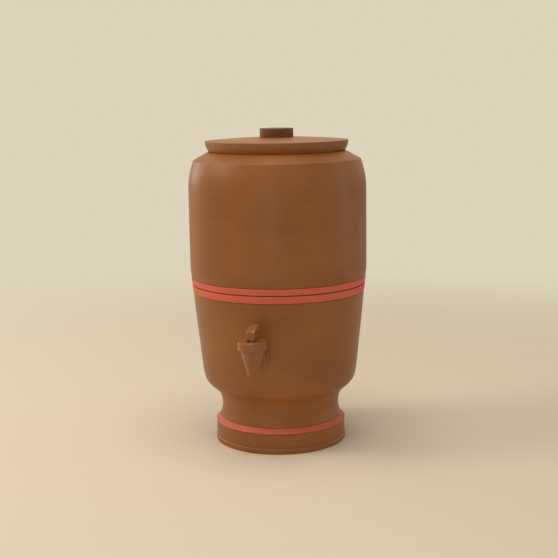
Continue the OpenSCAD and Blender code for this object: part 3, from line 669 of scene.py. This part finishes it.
candle = {
    "x": upper["candleX"], "shellR": 27.5, "shellWall": 6, "shellEdge": 0.6, "low": 248.5, "top": 340.5,
    "domeSteps": 12,
    "discLow": 245.9, "rimTop": 255.9, "rimIn": 27.8, "rimOut": 30.4,
    "stemR": 5, "stemBore": 2.4, "stemLow": 214.0,
    "notches": 12, "notchR": 1.6, "notchTall": 20, "notchOut": 0.9, "notchLow": 2.4,
    "gasketR": 15, "gasketHole": 5.15, "gasketT": 2.5
}


def candleShell(side, place):
    p = candle
    steps, edge = p["domeSteps"], p["shellEdge"]
    middle = p["top"] - p["shellR"]

    def dome(r, start, end):
        angles = [math.radians(start + (end - start) * i / steps) for i in range(steps + 1)]
        return [(r * math.cos(a), middle + r * math.sin(a)) for a in angles]

    inner = p["shellR"] - p["shellWall"]
    outline = [(inner, p["low"]), (p["shellR"] - edge, p["low"]), (p["shellR"], p["low"] + edge)]
    outline += dome(p["shellR"], 0, 90) + dome(inner, 90, 0)
    bm = shift(spinOutline(outline, 72), side * p["x"])
    return finishPiece(toObject("candleShell" + place.title(), bm), "upper", "candle_shell_" + place)


def candleBase(side, place):
    p = candle
    outline = roundCorners([
        (p["stemBore"], p["stemLow"]), (p["stemR"], p["stemLow"], 0.5), (p["stemR"], p["discLow"], 0.6),
        (p["rimOut"], p["discLow"], 1.2), (p["rimOut"], p["rimTop"], 0.7),
        (p["rimIn"], p["rimTop"], 0.5), (p["rimIn"], p["low"], 0.4), (p["stemBore"], p["low"], 0.3),
        (p["stemBore"], p["stemLow"])])
    piece = toObject("candleBase" + place.title(), shift(spinOutline(outline[:-1], 96), side * p["x"]))
    # shallow finger grips round the rim, for tightening the candle by hand
    notches = []
    reach = p["rimOut"] + p["notchOut"]
    r, tall = p["notchR"], p["notchTall"]
    for i in range(p["notches"]):
        angle = 2 * math.pi * i / p["notches"]
        groove = spinOutline(roundCorners([(0, 0), (r, 0, 0.6), (r, tall), (0, tall)]), 20)
        shift(groove, side * p["x"] + reach * math.cos(angle), reach * math.sin(angle),
              p["discLow"] + p["notchLow"])
        notches.append(toObject("groove", groove))
    carve(piece, notches)
    dropSlivers(piece)
    return finishPiece(piece, "upper", "candle_base_" + place)


def rubberRing(outerR, innerR, low, high):
    return roundCorners([
        (innerR, (low + high) / 2), (innerR, low, 0.4), (outerR, low, 0.7), (outerR, high, 0.7),
        (innerR, high, 0.4), (innerR, (low + high) / 2)])[:-1]


def joined(name, parts):
    # puts several closed shapes into one mesh
    bm = bmesh.new()
    for part in parts:
        mesh = bpy.data.meshes.new("part")
        part.to_mesh(mesh)
        part.free()
        bm.from_mesh(mesh)
        bpy.data.meshes.remove(mesh)
    return toObject(name, bm)


def candleGaskets():
    p = candle
    floor = upper["floorTop"]
    ring = rubberRing(p["gasketR"], p["gasketHole"], floor, floor + p["gasketT"])
    rings = [shift(spinOutline(ring, 64), side * p["x"]) for side in (-1, 1)]
    return finishPiece(joined("candleGaskets", rings), "upper", "candle_gaskets")


for side, place in ((-1, "left"), (1, "right")):
    candleShell(side, place)
    candleBase(side, place)
    softenedCopy("floatValve" + place.title(), "float_valve_" + place, "upper", 0.35)
    softenedCopy("floatArm" + place.title(), "float_arm_" + place, place + "_float", 0.4)
candleGaskets()
softenedCopy("candleNuts", "candle_nuts", "upper", 0.6)
print("candles and float valves made")


# ---- floats ----

floatShape = {
    "r": 15, "low": 170.7, "top": 197.7, "round": 6, "y": 20,
    "weldOut": 0.3, "weldHalf": 0.5, "weldFoot": 0.8,  # ridge where the two halves are welded
    "pinY": -13, "pinZ": 199.2, "drop": 24             # pin, and the degrees that it hangs down at rest
}


def hungFloat(side, place):
    # a blown float in two welded halves, drawn with the valve shut and then hung down
    p = floatShape
    middle = (p["low"] + p["top"]) / 2
    r, half, foot = p["r"] - p["weldOut"], p["weldHalf"], p["weldFoot"]
    outline = roundCorners([
        (0, p["low"]), (r, p["low"], p["round"]), (r, middle - foot, 0.2),
        (p["r"], middle - half, 0.2), (p["r"], middle + half, 0.2), (r, middle + foot, 0.2),
        (r, p["top"], p["round"]), (0, p["top"])], 7)
    bm = shift(spinOutline(outline, 64, closed=False), side * candle["x"], p["y"])
    pivot = Vector((side * candle["x"], p["pinY"], p["pinZ"])) * mm
    bmesh.ops.rotate(bm, verts=bm.verts, cent=pivot,
                     matrix=Matrix.Rotation(math.radians(-p["drop"]), 3, "X"))
    return finishPiece(toObject("hungFloat" + place.title(), bm), place + "_float", "float_" + place)


for side, place in ((-1, "left"), (1, "right")):
    hungFloat(side, place)
print("floats hung")


# ---- tap ----

def tapBody():
    p = tap
    slope = (p["bodyR"] - p["spoutR"]) / (p["bonnetLow"] - p["spoutZ"])
    chamberLow = p["spoutR"] + slope * (p["seatZ"] - p["spoutZ"]) - p["wall"]
    chamberHigh = p["threadR"] - p["wall"]
    outline = roundCorners([
        (p["spoutBore"], p["spoutZ"] + 1), (p["spoutBore"], p["spoutZ"], 0.5),
        (p["spoutR"], p["spoutZ"], 0.7), (p["bodyR"], p["bonnetLow"], 0.4),
        (p["threadR"], p["bonnetLow"], 0.2), (p["threadR"], p["bodyTop"], 0.4),
        (chamberHigh, p["bodyTop"], 0.3), (chamberHigh, p["bonnetLow"], 0.6),
        (chamberLow, p["seatZ"], 0.5), (p["spoutBore"], p["seatZ"], 0.3),
        (p["spoutBore"], p["spoutZ"] + 1)])
    piece = toObject("tapBody", shift(spinOutline(outline[:-1], 128), 0, p["y"]))

    # shank and flange in one turned shape, from the inner end to the cone
    flangeY = p["outerSeat"] - p["washerT"]
    length = p["shankEnd"] - p["y"]
    flangeAt = p["shankEnd"] - flangeY
    flangeTo = flangeAt + p["flangeT"]
    shank = roundCorners([
        (0, 0), (p["shankR"], 0, 0.8), (p["shankR"], flangeAt, 0.1), (p["flangeR"], flangeAt, 0.3),
        (p["flangeR"], flangeTo, 0.9), (p["shankR"] + p["filletOut"], flangeTo, 1.5),
        (p["shankR"], flangeTo + p["filletLong"], 3), (p["shankR"], length), (0, length)])
    body = toObject("shank", layForward(spinOutline(shank, 96), p["shankEnd"], p["shankZ"]))
    # the shank ends inside the cone's wall, clear of the chamber
    deep = p["bury"]
    spoutR, seatZ = p["spoutBore"] + deep, p["seatZ"] - deep
    chamber = toObject("chamber", shift(spinOutline([
        (0, p["spoutZ"] - 1), (spoutR, p["spoutZ"] - 1), (spoutR, seatZ), (chamberLow + deep, seatZ),
        (chamberHigh + deep, p["bonnetLow"]), (chamberHigh + deep, p["bodyTop"] + 2),
        (0, p["bodyTop"] + 2)], 96), 0, p["y"]))
    bore = tapDrill("bore", p["shankBore"], p["shankEnd"] + 1, length + 1, 64)
    carve(body, [chamber])
    carve(piece, [body], "UNION")
    carve(piece, [bore])
    dropSlivers(piece)
    return finishPiece(piece, "reservoir", "tap_body")


def tapBonnet():
    p = tap
    threadHole = p["threadR"] + p["threadGap"]
    low = p["bonnetLow"] + p["bonnetGap"]
    outline = roundCorners([
        (threadHole, low + 1), (threadHole, low, 0.2), (p["bonnetR"], low, 0.8),
        (p["bonnetR"], p["bonnetTop"], 0.9), (p["stemHole"], p["bonnetTop"], 0.4),
        (p["stemHole"], p["bonnetUnder"], 0.3), (threadHole, p["bonnetUnder"], 0.4),
        (threadHole, low + 1)])
    piece = toObject("tapBonnet", shift(spinOutline(outline[:-1], 128), 0, p["y"]))
    return finishPiece(piece, "reservoir", "tap_bonnet")


def tapWashers():
    p = tap
    for name, node, seat in (("outerWasher", "tap_outer_washer", p["outerSeat"]),
                             ("innerWasher", "tap_inner_washer", p["innerSeat"] + p["washerT"])):
        ring = rubberRing(p["flangeR"], p["shankR"] + p["washerGap"], 0, p["washerT"])
        piece = toObject(name, layForward(spinOutline(ring, 96), seat, p["shankZ"]))
        finishPiece(piece, "reservoir", node)


spring = {
    "r": 6.2, "wire": 1.2, "turns": 6, "low": 158.7, "high": 182.5,
    "perTurn": 48, "sides": 16,
    "deadRise": 1.7,   # mm that the close-wound turn at each end rises
    "squeeze": 3.2     # mm that the coil gives when the plunger is fully up
}


def tapSpring():
    p = spring
    sides = p["sides"]
    half = p["wire"] / 2
    low, high = p["low"] + half, p["high"] - half

    def middle(turn):
        # height of the wire's middle after this many turns
        if turn < 1:
            return low + turn * p["deadRise"]
        if turn > p["turns"] - 1:
            return high - (p["turns"] - turn) * p["deadRise"]
        share = (turn - 1) / (p["turns"] - 2)
        return low + p["deadRise"] + (high - low - 2 * p["deadRise"]) * share

    bm = bmesh.new()
    rings = []
    for i in range(p["turns"] * p["perTurn"] + 1):
        turn = i / p["perTurn"]
        swept = 2 * math.pi * turn
        ring = []
        for k in range(sides):
            about = 2 * math.pi * k / sides
            r = p["r"] + half * math.cos(about)
            ring.append(bm.verts.new((r * math.cos(swept) * mm, r * math.sin(swept) * mm,
                                      (middle(turn) + half * math.sin(about)) * mm)))
        rings.append(ring)
    for back, ahead in zip(rings, rings[1:]):
        for k in range(sides):
            after = (k + 1) % sides
            bm.faces.new((back[k], back[after], ahead[after], ahead[k]))
    bm.faces.new(rings[0])
    bm.faces.new(rings[-1])
    bmesh.ops.recalc_face_normals(bm, faces=bm.faces)
    piece = finishPiece(toObject("tapSpring", shift(bm, 0, tap["y"])), "reservoir", "tap_spring")
    # the plunger's collar pushes it up against the bonnet
    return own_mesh(piece)


lever = {
    "pinZ": 192.1, "yaw": 6, "pull": 45, "heelH": 5.5, "rise": 4, "heelSteps": 8,
    "width": 13.4, "tipWidth": 11.4, "knee": 8.4,
    "crown": [(4.2, 11.6, 3), (-2.8, 14.2, 3), (-10, 15.6, 3)],
    "tip": (-17.5, 16), "thick": 4.6, "back": 7.0, "round": 0.7,
    "stemRoom": 3.9, "roomLong": 22, "roomSteps": 10
}


def plate(outline, width):
    # a side view of (forward, up) points made into a plate across the tap
    bm = bmesh.new()
    verts = [bm.verts.new((width / 2 * mm, -u * mm, v * mm)) for u, v in outline]
    side = bm.faces.new(verts)
    grown = bmesh.ops.extrude_face_region(bm, geom=[side])
    moved = [item for item in grown["geom"] if isinstance(item, bmesh.types.BMVert)]
    bmesh.ops.translate(bm, verts=moved, vec=(-width * mm, 0, 0))
    bmesh.ops.recalc_face_normals(bm, faces=bm.faces)
    return bm


def placeLever(bm):
    # from the pin as origin to its place on the tap, turned a little as in the photo
    bmesh.ops.rotate(bm, verts=bm.verts, cent=(0, 0, 0),
                     matrix=Matrix.Rotation(-math.radians(lever["yaw"]), 3, "Z"))
    return shift(bm, 0, tap["y"], lever["pinZ"])


def tapLever():
    p = lever

    def heel(angle):
        # the distance from the pin grows evenly with the angle, which lifts the plunger evenly
        reach = p["heelH"] + p["rise"] * angle
        return (reach * math.sin(angle) + p["rise"] * math.cos(angle),
                -reach * math.cos(angle) + p["rise"] * math.sin(angle))

    pull = math.radians(p["pull"])
    heelCurve = [heel(pull * i / p["heelSteps"]) for i in range(p["heelSteps"] + 1)]
    tipU, tipV = p["tip"]
    top = roundCorners([
        heelCurve[-1], (heelCurve[-1][0], p["knee"], 1.6), *p["crown"],
        (tipU + 1, tipV, 1.2), (tipU, tipV - 1.6, 0.8), (tipU + 1, tipV - p["thick"], 0.8),
        (-p["back"], p["knee"] - p["thick"] / 2, 2.5), (-p["back"], -p["heelH"])])
    bm = plate([*heelCurve, *top[1:]], p["width"])
    for vert in bm.verts:
        # the lever narrows from its pin to its tip
        behind = max(0, vert.co.y / mm) / (1 - tipU)
        vert.co.x *= 1 + (p["tipWidth"] / p["width"] - 1) * behind
    breakEdges(bm, [edge for edge in bm.edges if edge.calc_face_angle(0) > rimAngle], p["round"], 3)
    piece = toObject("tapLever", placeLever(bm))

    # a slot for the stem, open below and wide enough for the whole pull
    room, far, steps = p["stemRoom"], p["roomLong"], p["roomSteps"]
    angles = [math.pi - (math.pi - pull) * i / steps for i in range(steps + 1)]
    arch = [(room * math.cos(a), room * math.sin(a)) for a in angles]
    cornerU, cornerV = arch[-1]
    slotSide = [(-room, -far), *arch,
                (cornerU + far * math.sin(pull), cornerV - far * math.cos(pull)), (0, -far)]
    stemRoom = toObject("stemRoom", placeLever(plate(slotSide, 2 * room)))
    carve(piece, [stemRoom])
    dropSlivers(piece)
    return finishPiece(piece, "lever", "tap_lever")


tapBody()
tapBonnet()
tapWashers()
softenedCopy("tapNut", "tap_nut", "reservoir", 0.7)
tapSpring()
tapLever()
print("tap made")


# ---- stage, light and camera ----

studio = {
    "floor": "#EBE0CC", "floorR": 30, "floorRough": 0.75, "floorSheen": 0.2,
    "wall": "#DDD3BA",
    "fadeFrom": 0.5, "fadeTo": 1.7,  # metres from the pot over which the floor turns into the wall
    "sky": "#FFF8EE", "skyLevel": 0.335
}
strip = {"size": 0.4, "tall": 1.1, "level": 0.05, "color": "#F6FAFF"}
lamps = [
    {"name": "key", "place": (-2.27, -0.78, 1.92), "size": 1.2, "level": 0.31, "color": "#FFF4E2"},
    {"name": "top", "place": (0, -0.35, 2.4), "size": 1.6, "level": 0.45, "color": "#FFF6EA"},
    {"name": "rim", "place": (-1.98, 0.96, 0.7), "size": 0.8, "level": 0.10, "color": "#FFF6EA"},
    # tall strips that the clay's soft gloss shows as faint upright bands
    {"name": "frontStrip", "place": (0.18, -2.19, 0.45), **strip},
    {"name": "sideStrip", "place": (2.12, 0.60, 0.45), **strip}
]
aim = Vector((0, 0, 0.24))


def paleFloor():
    material, tree, place = newMaterial("paleFloor", {
        "Base Color": linearColor(studio["floor"]), "Roughness": studio["floorRough"],
        "Specular IOR Level": studio["floorSheen"]})
    surface = tree.nodes["Principled BSDF"]
    away = addNode(tree, "ShaderNodeVectorMath", {0: place}, operation="LENGTH")
    fade = addNode(tree, "ShaderNodeMapRange", {
        "Value": away.outputs["Value"], "From Min": studio["fadeFrom"], "From Max": studio["fadeTo"]},
        clamp=True, interpolation_type="SMOOTHSTEP")
    ray = addNode(tree, "ShaderNodeLightPath")
    seen = combined(tree, "MULTIPLY", fade.outputs["Result"], ray.outputs["Is Camera Ray"])
    glow = addNode(tree, "ShaderNodeEmission", {"Color": linearColor(studio["wall"])})
    blend = addNode(tree, "ShaderNodeMixShader",
                    {"Fac": seen, 1: surface.outputs["BSDF"], 2: glow.outputs["Emission"]})
    tree.links.new(blend.outputs["Shader"], tree.nodes["Material Output"].inputs["Surface"])
    bm = bmesh.new()
    bmesh.ops.create_circle(bm, cap_ends=True, segments=64, radius=studio["floorR"])
    floor = toObject("floor", bm)
    floor.data.materials.append(material)


def softWorld():
    # the sky lights the part, while the eye and its reflections see the wall
    world = bpy.data.worlds.new("studio")
    bpy.context.scene.world = world
    world.use_nodes = True
    tree = world.node_tree
    sky = tree.nodes["Background"]
    sky.inputs["Color"].default_value = linearColor(studio["sky"])
    sky.inputs["Strength"].default_value = studio["skyLevel"]
    wall = addNode(tree, "ShaderNodeBackground", {"Color": linearColor(studio["wall"]), "Strength": 1})
    ray = addNode(tree, "ShaderNodeLightPath").outputs
    eye = combined(tree, "MAXIMUM", ray["Is Camera Ray"], ray["Is Glossy Ray"])
    clear = combined(tree, "MAXIMUM", eye, ray["Is Transmission Ray"])
    mix = addNode(tree, "ShaderNodeMixShader",
                  {"Fac": clear, 1: sky.outputs["Background"], 2: wall.outputs["Background"]})
    tree.links.new(mix.outputs["Shader"], tree.nodes["World Output"].inputs["Surface"])


def softBox(name, place, size, level, color, tall=None):
    # level is the share of a white sheet's brightness that the lamp alone gives at the pot
    place = Vector(place)
    away = place - aim
    lamp = bpy.data.lights.new(name, "AREA")
    lamp.shape = "RECTANGLE" if tall else "DISK"
    lamp.size = size
    lamp.size_y = tall or size
    lamp.energy = math.pi ** 2 * away.length_squared * level
    lamp.color = linearColor(color)[:3]
    holder = bpy.data.objects.new(name, lamp)
    holder.location = place
    holder.rotation_euler = away.to_track_quat("Z", "Y").to_euler()
    holder.visible_camera = False
    bpy.context.collection.objects.link(holder)


view = {
    "lens": 71.27, "sensor": 36, "place": (0.40173, -1.62943, 0.53120),
    "azimuth": 13.833, "pitch": 9.563, "roll": -0.859  # degrees
}


def photoCamera():
    azimuth, pitch, roll = (math.radians(view[key]) for key in ("azimuth", "pitch", "roll"))
    right = Vector((math.cos(azimuth), math.sin(azimuth), 0))
    ahead = Vector((-math.sin(azimuth), math.cos(azimuth), 0))
    forward = ahead * math.cos(pitch) - Vector((0, 0, math.sin(pitch)))
    up = right.cross(forward)
    axisX = right * math.cos(roll) + up * math.sin(roll)
    axisY = up * math.cos(roll) - right * math.sin(roll)
    lens = bpy.data.cameras.new("photoCamera")
    lens.lens = view["lens"]
    lens.sensor_width = view["sensor"]
    camera = bpy.data.objects.new("photoCamera", lens)
    turn = Matrix((axisX, axisY, -forward)).transposed()
    camera.matrix_world = Matrix.Translation(view["place"]) @ turn.to_4x4()
    bpy.context.collection.objects.link(camera)
    bpy.context.scene.camera = camera


paleFloor()
softWorld()
for lamp in lamps:
    softBox(**lamp)
photoCamera()
bpy.context.scene.view_settings.view_transform = "Standard"
print("stage set")
